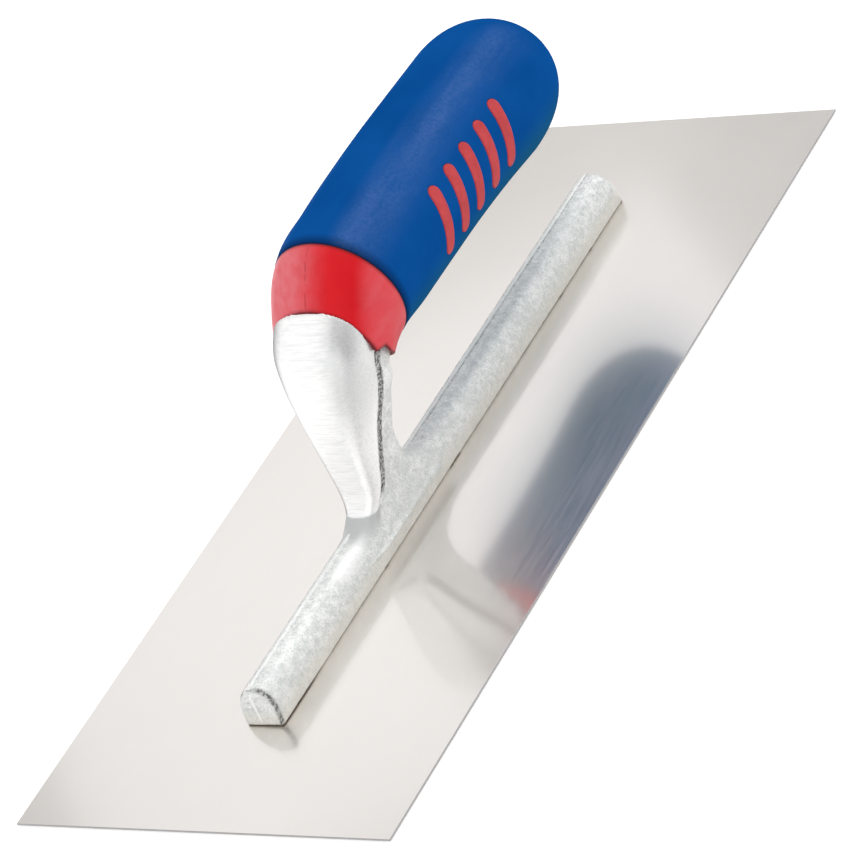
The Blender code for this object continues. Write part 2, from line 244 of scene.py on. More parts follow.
def bridge(bm, loops):
    """Join neighbouring closed loops of equal length with quads."""
    for lower, upper in zip(loops, loops[1:]):
        for i in range(len(lower)):
            j = (i + 1) % len(lower)
            bm.faces.new((lower[i], lower[j], upper[j], upper[i]))


def outward_mesh(name, bm):
    """Smooth mesh of a closed bmesh, its faces turned outward."""
    bmesh.ops.recalc_face_normals(bm, faces=bm.faces)
    mesh = bpy.data.meshes.new(name)
    bm.to_mesh(mesh)
    bm.free()
    mesh.shade_smooth()
    return mesh


def mesh_from_rings(name, rings):
    """Skin closed rings of equal length; each end closes in a point at its centre."""
    bm = bmesh.new()
    loops = [new_loop(bm, ring) for ring in rings]
    bridge(bm, loops)
    for loop in (loops[0], loops[-1]):
        tip = bm.verts.new(sum((v.co for v in loop), Vector()) / len(loop))
        for i in range(len(loop)):
            bm.faces.new((loop[i], loop[(i + 1) % len(loop)], tip))
    return outward_mesh(name, bm)


def hermite(f, start, end, start_slope, end_slope):
    """Cubic from start to end at share f, with both slopes over the whole step."""
    value = (2 * f**3 - 3 * f**2 + 1) * start + (3 * f**2 - 2 * f**3) * end
    return value + (f**3 - 2 * f**2 + f) * start_slope + (f**3 - f**2) * end_slope


def spline_rows(rows, samples):
    """Rows interpolated by one smooth curve per column."""
    rows = np.array(rows, float)
    place = np.linspace(0.0, len(rows) - 1.0, samples)
    i = np.minimum(place.astype(int), len(rows) - 2)
    slope = np.gradient(rows, axis=0)
    return hermite((place - i)[:, None], rows[i], rows[i + 1], slope[i], slope[i + 1])


def spline_at(knots, values, x):
    """Smooth curve through (knots, values), at x."""
    knots = np.array(knots, float)
    values = np.array(values, float)
    slope = np.gradient(values, knots)
    x = np.clip(x, knots[0], knots[-1])
    i = np.clip(np.searchsorted(knots, x) - 1, 0, len(knots) - 2)
    span = knots[i + 1] - knots[i]
    share = (x - knots[i]) / span
    return hermite(share, values[i], values[i + 1], slope[i] * span, slope[i + 1] * span)


def smooth_min(a, b, width):
    """Union of two distances with a fillet about that wide."""
    meet = np.maximum(width - np.abs(a - b), 0.0) / width
    return np.minimum(a, b) - meet * meet * width * 0.25


def smooth_max(a, b, width):
    """Intersection of two distances with a rounded edge."""
    return -smooth_min(-a, -b, width)


def blend_step(low, high, value):
    """0 below low, 1 above high, smooth between."""
    share = np.clip((value - low) / (high - low), 0.0, 1.0)
    return share * share * (3.0 - 2.0 * share)


# -------------------- casting field


def neck_tables(ys, zs):
    """Over (y, z): squared half-width, depth behind the rim, and share of the rim's depth."""
    rows = spline_rows(NECK_SECTIONS, NECK_SAMPLES)
    front, back = rows[:, 0:2], rows[:, 2:4]
    length = np.linalg.norm(back - front, axis=1)
    along = (back - front) / length[:, None]
    y, z = np.meshgrid(ys, zs, indexing="ij")
    place = np.full(y.shape, -1.0)
    last = None
    for i in range(len(rows)):
        dy, dz = y - front[i, 0], z - front[i, 1]
        side = dy * along[i, 1] - dz * along[i, 0]
        depth = dy * along[i, 0] + dz * along[i, 1]
        if last is not None:
            near = (depth > -NECK_MARGIN) & (depth < length[i] + NECK_MARGIN)
            crossed = (place < 0.0) & ((side > 0.0) != (last > 0.0)) & near
            share = last / np.where(side == last, 1.0, last - side)
            place = np.where(crossed, i - 1 + share, place)
        last = side
    missed = place < 0.0
    i = np.clip(place.astype(int), 0, len(rows) - 2)
    f = (np.where(missed, 0.0, place) - i)[..., None]
    row = rows[i] * (1.0 - f) + rows[i + 1] * f
    way = row[..., 2:4] - row[..., 0:2]
    size = np.linalg.norm(way, axis=-1)
    depth = ((y - row[..., 0]) * way[..., 0] + (z - row[..., 1]) * way[..., 1]) / size
    rim, rim_depth, web = row[..., 4], row[..., 5], row[..., 6]
    inner = 1.0 - np.maximum(1.0 - depth / rim_depth, 0.0) ** RIM_FULLNESS
    ahead = rim**2 * np.sign(inner) * np.abs(inner) ** (2.0 / RIM_FULLNESS)
    beyond = depth - rim_depth
    rear_start = size - np.minimum(web, 0.8 * (size - rim_depth - RIM_BAND - RIM_STEP))
    curl = np.maximum(depth - rear_start, 0.0) / (size - rear_start)
    behind = web**2 * (1.0 - curl**2)
    sheared = (rim - 0.25 * blend_step(0.0, 0.4, beyond)) ** 2
    step = blend_step(RIM_BAND, RIM_BAND + RIM_STEP, beyond)
    body = np.where(beyond < 0.0, ahead, sheared * (1.0 - step) + behind * step)
    squared = np.where(missed, -400.0, body)
    beyond = np.where(missed, 50.0, beyond)
    return squared, beyond, np.where(missed, 5.0, np.clip(depth / rim_depth, -1.0, 5.0))


def distance_from_squares(x, squared, step_y, step_z):
    """Distance to the surface |x| = half-width(y, z) from squared half-widths."""
    slope_y, slope_z = np.gradient(squared, step_y, step_z)
    slope_y = np.clip(slope_y, -60.0, 60.0)
    slope_z = np.clip(slope_z, -60.0, 60.0)
    steep = (slope_y**2 + slope_z**2).astype(np.float32)
    x = x.astype(np.float32)[:, None, None]
    value = x * x - squared.astype(np.float32)[None]
    return value / np.sqrt(4.0 * x * x + steep[None] + 0.05)


def bar_distance(x, z):
    """Distance to the bar's section over (x, z)."""
    across, up = np.meshgrid(x, z, indexing="ij")
    arch = np.maximum(up - BAR_SHOULDER, 0.0) / (BAR_TOP - BAR_SHOULDER)
    value = np.abs(across / BAR_HALF_WIDTH) ** BAR_POWER + arch**2 - 1.0
    slope = np.gradient(value, x[1] - x[0], z[1] - z[0])
    skin = value / np.sqrt(slope[0] ** 2 + slope[1] ** 2 + 1e-4)
    return smooth_max(skin, BAR_FOOT - up, 0.06)


def end_plane(y, z, line, side):
    """Signed distance over (y, z) beyond a sloped end of the bar."""
    (y0, z0), (y1, z1) = line
    tall = math.hypot(y1 - y0, z1 - z0)
    normal = ((z1 - z0) / tall, -(y1 - y0) / tall)
    return side * ((y - y0) * normal[0] + (z - z0) * normal[1])


def casting_axes():
    """Grid coordinates of the casting's field."""
    return [
        np.arange(low, high, step)
        for low, high, step in zip(GRID_LOW, GRID_HIGH, GRID_STEP)
    ]


def collar_edge(z):
    """Y of the collar's front edge at height z."""
    heights, ys = zip(*reversed(COLLAR_EDGE))
    return np.interp(z, heights, ys)


def collar_limit(x, yy, zz):
    """Distance beyond the space open to the neck: ahead of the collar, or inside it."""
    ahead = yy - collar_edge(zz) - 0.2
    axis, radius = handle_axis(yy)
    reach = np.sqrt(x[:, None, None] ** 2 + ((zz - axis) ** 2)[None])
    return np.minimum(ahead[None], reach - (radius - 0.8)[None]).astype(np.float32)


def casting_field(x, y, z):
    """Distance to the whole casting, negative inside, and the neck's depth tables."""
    yy, zz = np.meshgrid(y, z, indexing="ij")
    bar = bar_distance(x, z).astype(np.float32)[:, None, :]
    toe = end_plane(yy, zz, BAR_TOE, -1.0).astype(np.float32)[None]
    heel = end_plane(yy, zz, BAR_HEEL, 1.0).astype(np.float32)[None]
    field = smooth_max(smooth_max(bar, toe, 1.5), heel, 1.6)
    squared, depth, turn = neck_tables(y, z)
    neck = distance_from_squares(x, squared, GRID_STEP[1], GRID_STEP[2])
    neck = np.maximum(neck, collar_limit(x, yy, zz))
    field = smooth_min(field, neck, FOOT_BLEND)
    axis = TANG_HEIGHT - TANG_DROP * (yy - JOINT_Y)
    reach = np.sqrt(x[:, None, None] ** 2 + ((zz - axis) ** 2)[None]) - TANG_RADIUS
    ends = np.maximum(TANG_SPAN[0] - yy, yy - TANG_SPAN[1])[None]
    tang = smooth_max(reach, ends, 1.5).astype(np.float32)
    return np.minimum(field, tang), depth, turn


def surface_nets(field, low, step):
    """Points and outward quads of the zero surface of a field, negative inside."""
    inside = field < 0.0
    shape = np.array(field.shape) - 1
    count = np.zeros(shape, np.int8)
    for i, j, k in itertools.product((0, 1), repeat=3):
        count += inside[i : shape[0] + i, j : shape[1] + j, k : shape[2] + k]
    mixed = (count > 0) & (count < 8)
    cells = np.argwhere(mixed)
    number = np.full(mixed.shape, -1, np.int32)
    number[mixed] = np.arange(len(cells))
    total = np.zeros((len(cells), 3))
    hits = np.zeros(len(cells))
    for axis in range(3):
        unit = np.eye(3, dtype=int)[axis]
        for sides in itertools.product((0, 1), repeat=2):
            start = np.insert(sides, axis, 0)
            first = field[tuple((cells + start).T)].astype(float)
            second = field[tuple((cells + start + unit).T)].astype(float)
            cross = (first < 0.0) != (second < 0.0)
            share = np.where(cross, first / np.where(cross, first - second, 1.0), 0.0)
            total += np.where(cross[:, None], start + share[:, None] * unit, 0.0)
            hits += cross
    points = np.array(low) + (cells + total / hits[:, None]) * np.array(step)
    return points, net_quads(inside, number)


def net_quads(inside, number):
    """Quads of the cells round every grid edge that crosses the surface."""
    quads = []
    for axis in range(3):
        a, b = [(axis + 1) % 3, (axis + 2) % 3]
        first = np.take(inside, range(inside.shape[axis] - 1), axis)
        second = np.take(inside, range(1, inside.shape[axis]), axis)
        nodes = np.argwhere(first != second)
        keep = (nodes[:, a] > 0) & (nodes[:, b] > 0)
        keep &= (nodes[:, a] < number.shape[a]) & (nodes[:, b] < number.shape[b])
        nodes = nodes[keep]
        ring = []
        for da, db in ((1, 1), (0, 1), (0, 0), (1, 0)):
            cell = nodes.copy()
            cell[:, a] -= da
            cell[:, b] -= db
            ring.append(number[tuple(cell.T)])
        ring = np.stack(ring, 1)
        outward = first[tuple(nodes.T)]
        ring[~outward] = ring[~outward][:, ::-1]
        quads.append(ring)
    return np.concatenate(quads)


def table_at(table, ys, zs, points):
    """Bilinear value of a (y, z) table at points."""
    fy = np.clip((points[:, 1] - ys[0]) / (ys[1] - ys[0]), 0.0, len(ys) - 1.001)
    fz = np.clip((points[:, 2] - zs[0]) / (zs[1] - zs[0]), 0.0, len(zs) - 1.001)
    i, j = fy.astype(int), fz.astype(int)
    u, v = fy - i, fz - j
    low = table[i, j] * (1 - u) + table[i + 1, j] * u
    high = table[i, j + 1] * (1 - u) + table[i + 1, j + 1] * u
    return low * (1 - v) + high * v


def add_attributes(mesh, **layers):
    """Store one number per vertex in each named layer."""
    for name, values in layers.items():
        layer = mesh.attributes.new(name, "FLOAT", "POINT")
        layer.data.foreach_set("value", np.asarray(values, np.float32))


def bead_mesh(name, path, out, across, dark_from):
    """Raised parting bead: a small rounded ridge with a painted highlight along its top, and painted
    shade on its sides below dark_from and on its ends.
    """
    rings = []
    for number, place in enumerate(path):
        wobble = 0.09 * noise.noise(Vector((number * 0.21, 3.7, 0.0)))
        height = 1.0 + 0.22 * noise.noise(Vector((number * 0.37, 9.1, 0.0)))
        ends = min(number, len(path) - 1 - number)
        height *= min(1.0, 0.45 + 0.3 * ends)
        ring = []
        for side, rise in BEAD_PROFILE:
            ring.append(place + across * (side + wobble) + out * (rise * height))
        rings.append(ring)
    mesh = mesh_from_rings(name, rings)
    # Painted shade: dark sides below dark_from, and dark end caps, go into the flash layer.
    dark = [1.0 if abs(side) > 0.5 and side < dark_from else 0.0 for side, _ in BEAD_PROFILE]
    # Painted highlight along the bead's top, stored in the ground layer.
    painted_top_highlight = [0.8 if abs(side) < 0.3 else 0.0 for side, _ in BEAD_PROFILE]
    flash = dark * len(rings) + [1.0, 1.0]
    ground = painted_top_highlight * len(rings) + [0.0, 0.0]
    none = [0.0] * len(flash)
    add_attributes(mesh, flash=flash, ground=ground, shade=none, roll=none)
    return mesh


def bead_seat():
    """Height and outward direction of the bar's skin where the parting bead runs."""
    share = abs(BEAD_X / BAR_HALF_WIDTH)
    rise = math.sqrt(1.0 - share**BAR_POWER)
    height = BAR_TOP - BAR_SHOULDER
    out = Vector((-BAR_POWER * share ** (BAR_POWER - 1.0) / BAR_HALF_WIDTH, 0.0, 2.0 * rise / height))
    return BAR_SHOULDER + height * rise, out.normalized()


def parting_beads(look):
    """Beads just left of the bar's crown ahead of and behind the neck, and down the toe."""
    height, out = bead_seat()
    across = Vector((out.z, 0.0, -out.x))
    beads = []
    for name, start, end, dark_from in BEAD_RUNS:
        count = int((end - start) / BEAD_STEP)
        ys = [start + (end - start) * i / count for i in range(count + 1)]
        path = [Vector((BEAD_X, y, height - 0.06)) for y in ys]
        mesh = bead_mesh(name, path, out, across, dark_from)
        beads.append(new_object("bead_" + name, mesh, look))
    (y0, z0), (y1, z1) = BAR_TOE
    face = Vector((0.0, -(z1 - z0), y1 - y0)).normalized()
    path = []
    for i in range(TOE_BEAD_STEPS + 1):
        z = 2.0 + (height - 2.8) * i / TOE_BEAD_STEPS
        y = y0 + (y1 - y0) * (z - z0) / (z1 - z0)
        path.append(Vector((0.8 * BEAD_X * i / TOE_BEAD_STEPS, y, z)) - face * 0.15)
    mesh = bead_mesh("toe_end", path, face, Vector((1.0, 0.0, 0.0)), 0.0)
    beads.append(new_object("bead_toe_end", mesh, look))
    return beads


def painted_highlight_patch(points):
    """Painted highlight: a bright patch of the ground layer on the bar, ahead of the neck."""
    across, along = ((points[:, :2] - HIGHLIGHT_PATCH_CENTRE) / HIGHLIGHT_PATCH_HALF_SIZE).T
    return 0.9 * (1.0 - blend_step(0.3, 1.0, np.hypot(along, across))) * (points[:, 2] > 6.0)


def painted_shoulder_shade(points):
    """Painted shade: a thin dark line along the bar's left shoulder, clear of the neck's foot."""
    x, y, z = points.T
    clear = np.maximum(y - NECK_REAR, NECK_FRONT - y)
    line = 1.0 - blend_step(0.45, 1.0, np.abs(x - SHOULDER_LINE_X))
    return 0.8 * line * blend_step(0.0, 1.5, clear) * (z > 7.0) * (y > -102.0)


def painted_toe_arch_shade(points):
    """Painted shade along the fillet where the toe face meets the bar, strongest on the right."""
    x, y, z = points.T
    inward = -end_plane(y, z, BAR_TOE, -1.0)
    line = blend_step(0.05, 0.35, inward) * (1.0 - blend_step(0.9, 1.7, inward))
    return 0.95 * line * blend_step(-1.5, 2.0, x) * (z > 1.2)


def painted_ground_edge_shade(points, turn):
    """Painted shade on the sides of the ground face: a dark line on the left, and a broad grey band
    of painted reflection on the right.
    """
    x, _, z = points.T
    left = 0.95 * blend_step(0.08, 0.34, turn) * (x < 0.0)
    right = blend_step(-0.01, 0.13, turn) * (1.0 - 0.35 * blend_step(0.2, 0.9, turn))
    return np.maximum(left, 0.40 * right * blend_step(27.0, 50.0, z) * (x > 0.0))


def above_foot(z):
    """1 above the height where the ground face ends, 0 below it."""
    return blend_step(GROUND_FOOT - 0.2, GROUND_FOOT + 0.2, z)


def painted_foot_shade(points, behind):
    """Painted shade on the fillet just under the ground face."""
    _, y, z = points.T
    below = 1.0 - above_foot(z)
    reach = blend_step(GROUND_FOOT - 5.5, GROUND_FOOT - 1.0, z)
    front = (1.0 - blend_step(0.5, 3.0, behind)) * blend_step(-51.0, -45.0, y)
    return below * reach * front


def cast_relief(points, ground, flash):
    """Height of the cast skin's lumps and pits, flatter where it is ground and under the painted
    highlights.
    """
    lumps = np.array([
        0.6 * noise.noise(Vector(p) * 0.16) + 0.4 * noise.noise(Vector(p) * 0.55)
        for p in points
    ])
    pits = np.array([noise.noise(Vector(p) * 1.6) for p in points])
    relief = lumps * LUMP_HEIGHT * (1.0 - 0.85 * ground)
    relief += pits * (PIT_HEIGHT + FLASH_PIT_HEIGHT * flash)
    return relief * (1.0 - ground * 0.7)


def mounting_casting(look):
    """Bar, gooseneck and tang as one cast skin."""
    x, y, z = casting_axes()
    field, depth, turn = casting_field(x, y, z)
    points, quads = surface_nets(field, (x[0], y[0], z[0]), GRID_STEP)
    mesh = mesh_from_arrays("mounting_casting", points, quads)
    normals = vertex_values(mesh, "normal")
    behind = table_at(depth, y, z, points)
    ground = (1.0 - blend_step(-0.35, 0.05, behind)) * above_foot(points[:, 2])
    # Painted highlight: bright patch on the bar ahead of the neck.
    ground = np.maximum(ground, painted_highlight_patch(points))
    # Flash layer: the dark rough step behind the ground face's seam, partly real flash and partly
    # painted shade, plus painted shade lines on the shoulder and the toe fillet.
    flash = blend_step(0.0, 0.35, behind) * (1.0 - blend_step(2.6, 3.5, behind))
    flash *= blend_step(14.0, 17.0, points[:, 2])
    flash = np.maximum(flash, np.maximum(painted_shoulder_shade(points), painted_toe_arch_shade(points)))
    # Painted shade on the fillet under the ground face.
    shade = painted_foot_shade(points, behind)
    # Painted shade and painted reflection on the sides of the ground face.
    roll = painted_ground_edge_shade(points, table_at(turn, y, z, points))
    points = points + normals * cast_relief(points, ground, flash)[:, None]
    mesh.vertices.foreach_set("co", (points * MM).astype(np.float32).ravel())
    mesh.update()
    add_attributes(mesh, ground=ground, flash=flash, shade=shade, roll=roll)
    return new_object("casting_skin", mesh, look)


# -------------------- handle


def handle_axis(y):
    """Axis height and radius of the handle's outer surface at y."""
    knots, heights, radii = zip(*HANDLE_CIRCLES)
    height = spline_at(knots, heights, y)
    radius = spline_at(knots, radii, y)
    share = np.clip((y - knots[-1]) / DOME_LENGTH, 0.0, 1.0)
    height = height - DOME_DROP * share**1.6
    radius = radius * np.maximum(1.0 - share**DOME_POWER, 0.0) ** (1.0 / DOME_POWER)
    return height, radius


def ring_points(y, offset=0.0, lean=0.0):
    """Ring of the handle's surface near y, moved out by offset, leaning with height."""
    base = np.broadcast_to(np.asarray(y, float), HANDLE_ANGLES.shape)
    y = base
    for _ in range(4):
        height, radius = handle_axis(y)
        y = base + lean * (radius + offset) * np.sin(HANDLE_ANGLES)
    x = (radius + offset) * np.cos(HANDLE_ANGLES)
    z = height + (radius + offset) * np.sin(HANDLE_ANGLES)
    return np.stack([x, y, z], 1)


def collar_front():
    """Y of the collar's front edge for every angle of the ring, found by halving."""
    low = np.full(HANDLE_ANGLES.shape, HANDLE_CIRCLES[0][0])
    high = np.zeros(HANDLE_ANGLES.shape)
    for _ in range(40):
        middle = 0.5 * (low + high)
        axis, radius = handle_axis(middle)
        ahead = middle < collar_edge(axis + radius * np.sin(HANDLE_ANGLES))
        low = np.where(ahead, middle, low)
        high = np.where(ahead, high, middle)
    return low


def rounded(edge, radius, side, offset=0.0):
    """Rings of a rounded edge at Y edge; side 1 opens it forwards, -1 closes it."""
    bends = [math.radians(v) for v in (0.0, 30.0, 60.0, 90.0)]
    if side < 0:
        bends.reverse()
    rings = []
    for bend in bends:
        inward = radius * (1.0 - math.sin(bend))
        setback = side * radius * (1.0 - math.cos(bend))
        rings.append(ring_points(edge + setback, offset - inward))
    return rings


def collar_rings():
    """Rings of the core: pocket wall, rounded front edge, collar, joint, hidden body."""
    front = collar_front()
    joint = ring_points(JOINT_Y, 0.0, JOINT_LEAN)[:, 1]
    rings = [ring_points(front + 5.0, -2.4), ring_points(front + 0.5, -1.9)]
    rings += rounded(front, COLLAR_ROUND, 1.0, -COLLAR_SINK)
    start = front + COLLAR_ROUND
    shares = np.linspace(0.04, 0.96, 24)
    rings += [ring_points(start + (joint - start) * share, -COLLAR_SINK) for share in shares]
    rings += rounded(joint, 0.2, -1.0, -COLLAR_SINK)
    inner = -(GRIP_WALL + 0.1)
    visible = len(rings)
    rings += [ring_points(y, inner) for y in (joint, *np.linspace(0.0, DOME_START, 25))]
    for turn in np.linspace(8.0, 76.0, 10):
        share = math.sin(math.radians(turn))
        rings.append(ring_points(DOME_START + (DOME_LENGTH + inner) * share, inner))
    return rings, visible


def handle_core(look):
    """Hard core with the collar; its edge attribute marks painted shade along the collar's front edge
    and at the joint.
    """
    rings, visible = collar_rings()
    mesh = mesh_from_rings("handle_core", rings)
    edge = [1.0] * 5 + [0.45] + [0.0] * (visible - 11) + [0.45, 1.0, 1.0, 1.0, 1.0]
    edge += [0.0] * (len(rings) - visible)
    add_attributes(mesh, edge=[*np.repeat(edge, HANDLE_SEGMENTS), 0.0, 0.0])
    return new_object("core_body", mesh, look)


def grip_outer_rings():
    """Rings of the grip's outer surface from the joint to the rounded end."""
    joint = ring_points(JOINT_Y + JOINT_GAP, 0.0, JOINT_LEAN)[:, 1]
    rings = rounded(joint, GRIP_ROUND, 1.0)
    start = joint + GRIP_ROUND
    shares = np.linspace(0.03, 1.0, 60)
    rings += [ring_points(start + (DOME_START - start) * share) for share in shares]
    for turn in np.linspace(3.0, 84.0, 26):
        rings.append(ring_points(DOME_START + DOME_LENGTH * math.sin(math.radians(turn))))
    return rings


def grip_inner_rings(start):
    """Rings of the sleeve's inner wall, from the joint to the rounded end."""
    ys = (start, *np.linspace(2.0, DOME_START, 20))
    rings = [ring_points(y, -GRIP_WALL) for y in ys]
    for turn in np.linspace(8.0, 80.0, 12):
        bend = math.radians(turn)
        y = DOME_START + (DOME_LENGTH - GRIP_WALL) * math.sin(bend)
        rings.append(ring_points(y, -GRIP_WALL * math.cos(bend)))
    return rings


def grip_sleeve(look):
    """Soft sleeve with a wall, windows for the inlays and a hole for the plug."""
    outer = grip_outer_rings()
    inner = grip_inner_rings(outer[0][:, 1])
    mesh = mesh_from_rings("soft_grip", list(reversed(inner)) + outer)
    sleeve = new_object("grip_sleeve", mesh, look)
    for row in INLAYS:
        step = sleeve.modifiers.new("window", "BOOLEAN")
        cutter = inlay_mesh("cut", row, INLAY_GAP, WINDOW_REACH, WINDOW_REACH)
        step.object = new_object("cut", cutter)
        step.operation = "DIFFERENCE"
        step.solver = "EXACT"
    bpy.context.view_layer.update()
    graph = bpy.context.evaluated_depsgraph_get()
    result = bpy.data.meshes.new_from_object(sleeve.evaluated_get(graph))
    cutters = [step.object for step in sleeve.modifiers]
    sleeve.modifiers.clear()
    sleeve.data = result
    for cut in cutters:
        bpy.data.objects.remove(cut)
    skin_normals(result)
    places = vertex_values(result, "co").astype(float) / MM
    axis, _ = handle_axis(places[:, 1])
    # Edge layer: painted shade on the grip next to the joint with the collar.
    past = places[:, 1] - JOINT_Y - JOINT_GAP - JOINT_LEAN * (places[:, 2] - axis)
    add_attributes(result, edge=1.0 - blend_step(0.2, 0.7, past))
    return sleeve


def skin_normals(mesh):
    """Shade the grip's skin by its true surface and its cut walls flat."""
    normals = []
    for polygon in mesh.polygons:
        centre = polygon.center / MM
        height, radius = handle_axis(np.array([centre.y]))
        reach = math.hypot(centre.x, centre.z - height[0])
        on_skin = abs(reach - radius[0]) < 0.25 and -4.0 <= centre.y <= DOME_START - 1.0
        if not on_skin:
            normals += [(0.0, 0.0, 0.0)] * len(polygon.vertices)
            continue
        for corner in polygon.vertices:
            place = mesh.vertices[corner].co / MM
            ahead, wide = handle_axis(np.array([place.y - 0.5, place.y + 0.5]))
            axis = 0.5 * (ahead[0] + ahead[1])
            out = Vector((place.x, 0.0, place.z - axis)).normalized()
            grow = (wide[1] - wide[0]) + out.z * (ahead[1] - ahead[0])
            normals.append(Vector((out.x, -grow, out.z)).normalized()[:])
    mesh.normals_split_custom_set(normals)


def inlay_outline(half_length, half_width, across_shrink):
    """Stadium outline, symmetric about its long axis, as (along, across) pairs."""
    width = half_width - across_shrink
    straight = half_length - half_width
    right = []
    for i in range(INLAY_END_STEPS + 1):
        angle = math.radians(-90.0 + 90.0 * i / INLAY_END_STEPS)
        right.append((-straight + width * math.sin(angle), width * math.cos(angle)))
    for i in range(1, INLAY_SIDE_STEPS):
        right.append((-straight + 2.0 * straight * i / INLAY_SIDE_STEPS, width))
    for i in range(INLAY_END_STEPS + 1):
        angle = math.radians(90.0 * i / INLAY_END_STEPS)
        right.append((straight + width * math.sin(angle), width * math.cos(angle)))
    left = [(u, -v) for u, v in reversed(right[1:-1])]
    return right + left


def inlay_point(row, along, across, offset):
    """Point of an inlay over the handle's surface."""
    y, height, _, _, lean = row
    turn = math.radians(lean)
    py = y + across * math.cos(turn) + along * math.sin(turn)
    pz = height - across * math.sin(turn) + along * math.cos(turn)
    axis, radius = handle_axis(np.array([py]))
    angle = math.asin((pz - axis[0]) / radius[0])
    reach = radius[0] + offset
    return (reach * math.cos(angle), py, axis[0] + reach * math.sin(angle))


def inlay_mesh(name, row, grow, top, depth):
    """Bar that follows the handle's surface, from depth below it to top above it."""
    _, _, half_length, half_width, _ = row
    half_length, half_width = half_length + grow, half_width + grow
    layers = [(0.0, -depth), (0.0, top - 0.2), (0.06, top - 0.07), (0.2, top)]
    layers += [(share * half_width, top) for share in (0.3, 0.6, 0.88)]
    bm = bmesh.new()
    loops = []
    for shrink, offset in layers:
        outline = inlay_outline(half_length, half_width, shrink)
        loops.append(new_loop(bm, [inlay_point(row, u, v, offset) for u, v in outline]))
    bridge(bm, loops)
    count = len(loops[0])
    for loop in (loops[0], loops[-1]):
        for i in range(count // 2):
            corners = [loop[i], loop[i + 1], loop[(count - i - 1) % count], loop[(count - i) % count]]
            bm.faces.new(list(dict.fromkeys(corners)))
    mesh = outward_mesh(name, bm)
    mesh.set_sharp_from_angle(angle=math.radians(60.0))
    return mesh


def rear_plug(look):
    """Plug in the rounded end, slightly domed, with a rounded rim."""
    rear = DOME_START + DOME_LENGTH
    rings = []
    for depth, radius in PLUG_PROFILE:
        y = rear - depth
        axis = TANG_HEIGHT - TANG_DROP * (y - JOINT_Y)
        ring = []
        for i in range(PLUG_SIDES):
            angle = 2.0 * math.pi * i / PLUG_SIDES
            rise = radius * math.sin(angle)
            ring.append((radius * math.cos(angle), y + TANG_DROP * rise, axis + rise))
        rings.append(ring)
    return new_object("rear_plug", mesh_from_rings("end_plug", rings), look)


# -------------------- blade


def circle(y, z, radius):
    """Points round a rivet hole's edge, centred on the blade's long axis."""
    turns = [2.0 * math.pi * i / RIVET_HOLE_SIDES for i in range(RIVET_HOLE_SIDES)]
    return [(radius * math.cos(turn), y + radius * math.sin(turn), z) for turn in turns]


def blade_plate(look):
    """Ground plate with crisp bevelled edges and countersunk holes."""
    bm = bmesh.new()
    half = (BLADE_WIDTH / 2.0, BLADE_LENGTH / 2.0)
    levels = (
        (BLADE_BEVEL, 0.0),
        (0.0, BLADE_BEVEL),
        (0.0, BLADE_THICKNESS - BLADE_BEVEL),
        (BLADE_BEVEL, BLADE_THICKNESS),
    )
    rings = []
    for inset, z in levels:
        x, y = half[0] - inset, half[1] - inset
        rings.append(new_loop(bm, ((x, -y, z), (x, y, z), (-x, y, z), (-x, -y, z))))
    bridge(bm, rings)
    holes = []
    first = -0.5 * RIVET_PITCH * (RIVET_COUNT - 1)
    for number in range(RIVET_COUNT):
        y = first + RIVET_PITCH * number
        lower = new_loop(bm, circle(y, 0.0, COUNTERSINK_RADIUS))
        upper = new_loop(bm, circle(y, BLADE_THICKNESS, RIVET_HOLE_RADIUS))
        bridge(bm, (lower, upper))
        holes.append((lower, upper))
    for ring, cuts in zip((rings[0], rings[-1]), zip(*holes)):
        edges = []
        for loop in (ring, *cuts):
            for i in range(len(loop)):
                edges.append(bm.edges.get((loop[i], loop[(i + 1) % len(loop)])))
        bmesh.ops.triangle_fill(bm, use_beauty=True, edges=edges)
    layer = bm.loops.layers.uv.new("brush")
    for face in bm.faces:
        for corner in face.loops:
            x, y, z = corner.vert.co
            corner[layer].uv = (3.0 * (y + 0.4 * z) + 0.5, 3.0 * (x + z) + 0.5)
    mesh = outward_mesh("blade", bm)
    mesh.shade_flat()
    return new_object("blade_plate", mesh, look)


# -------------------- materials


class Nodes:
    """Short ways to add nodes to a shader tree, with its texture coordinate as place."""

    def __init__(self, tree, coordinate):
        self.nodes = tree.nodes
        self.links = tree.links
        self.place = self.node("TexCoord").outputs[coordinate]

    def fill(self, socket, value):
        """Link an output to a socket, or set it to a number, vector or colour."""
        if isinstance(value, bpy.types.NodeSocket):
            self.links.new(value, socket)
        elif socket.type == "RGBA":
            socket.default_value = (*value, 1.0)
        else:
            socket.default_value = value

    def node(self, kind, **inputs):
        made = self.nodes.new("ShaderNode" + kind)
        for name, value in inputs.items():
            self.fill(made.inputs[name], value)
        return made

    def span(self, value, low, high, to_low=0.0, to_high=1.0):
        """Value carried smoothly from low..high to to_low..to_high."""
        limits = {"From Min": low, "From Max": high, "To Min": to_low, "To Max": to_high}
        made = self.node("MapRange", Value=value, **limits)
        made.interpolation_type = "SMOOTHSTEP"
        return made.outputs["Result"]

    def math(self, kind, first, second):
        made = self.node("Math")
        made.operation = kind
        self.fill(made.inputs[0], first)
        self.fill(made.inputs[1], second)
        return made.outputs["Value"]

    def times(self, *factors):
        return functools.reduce(functools.partial(self.math, "MULTIPLY"), factors)


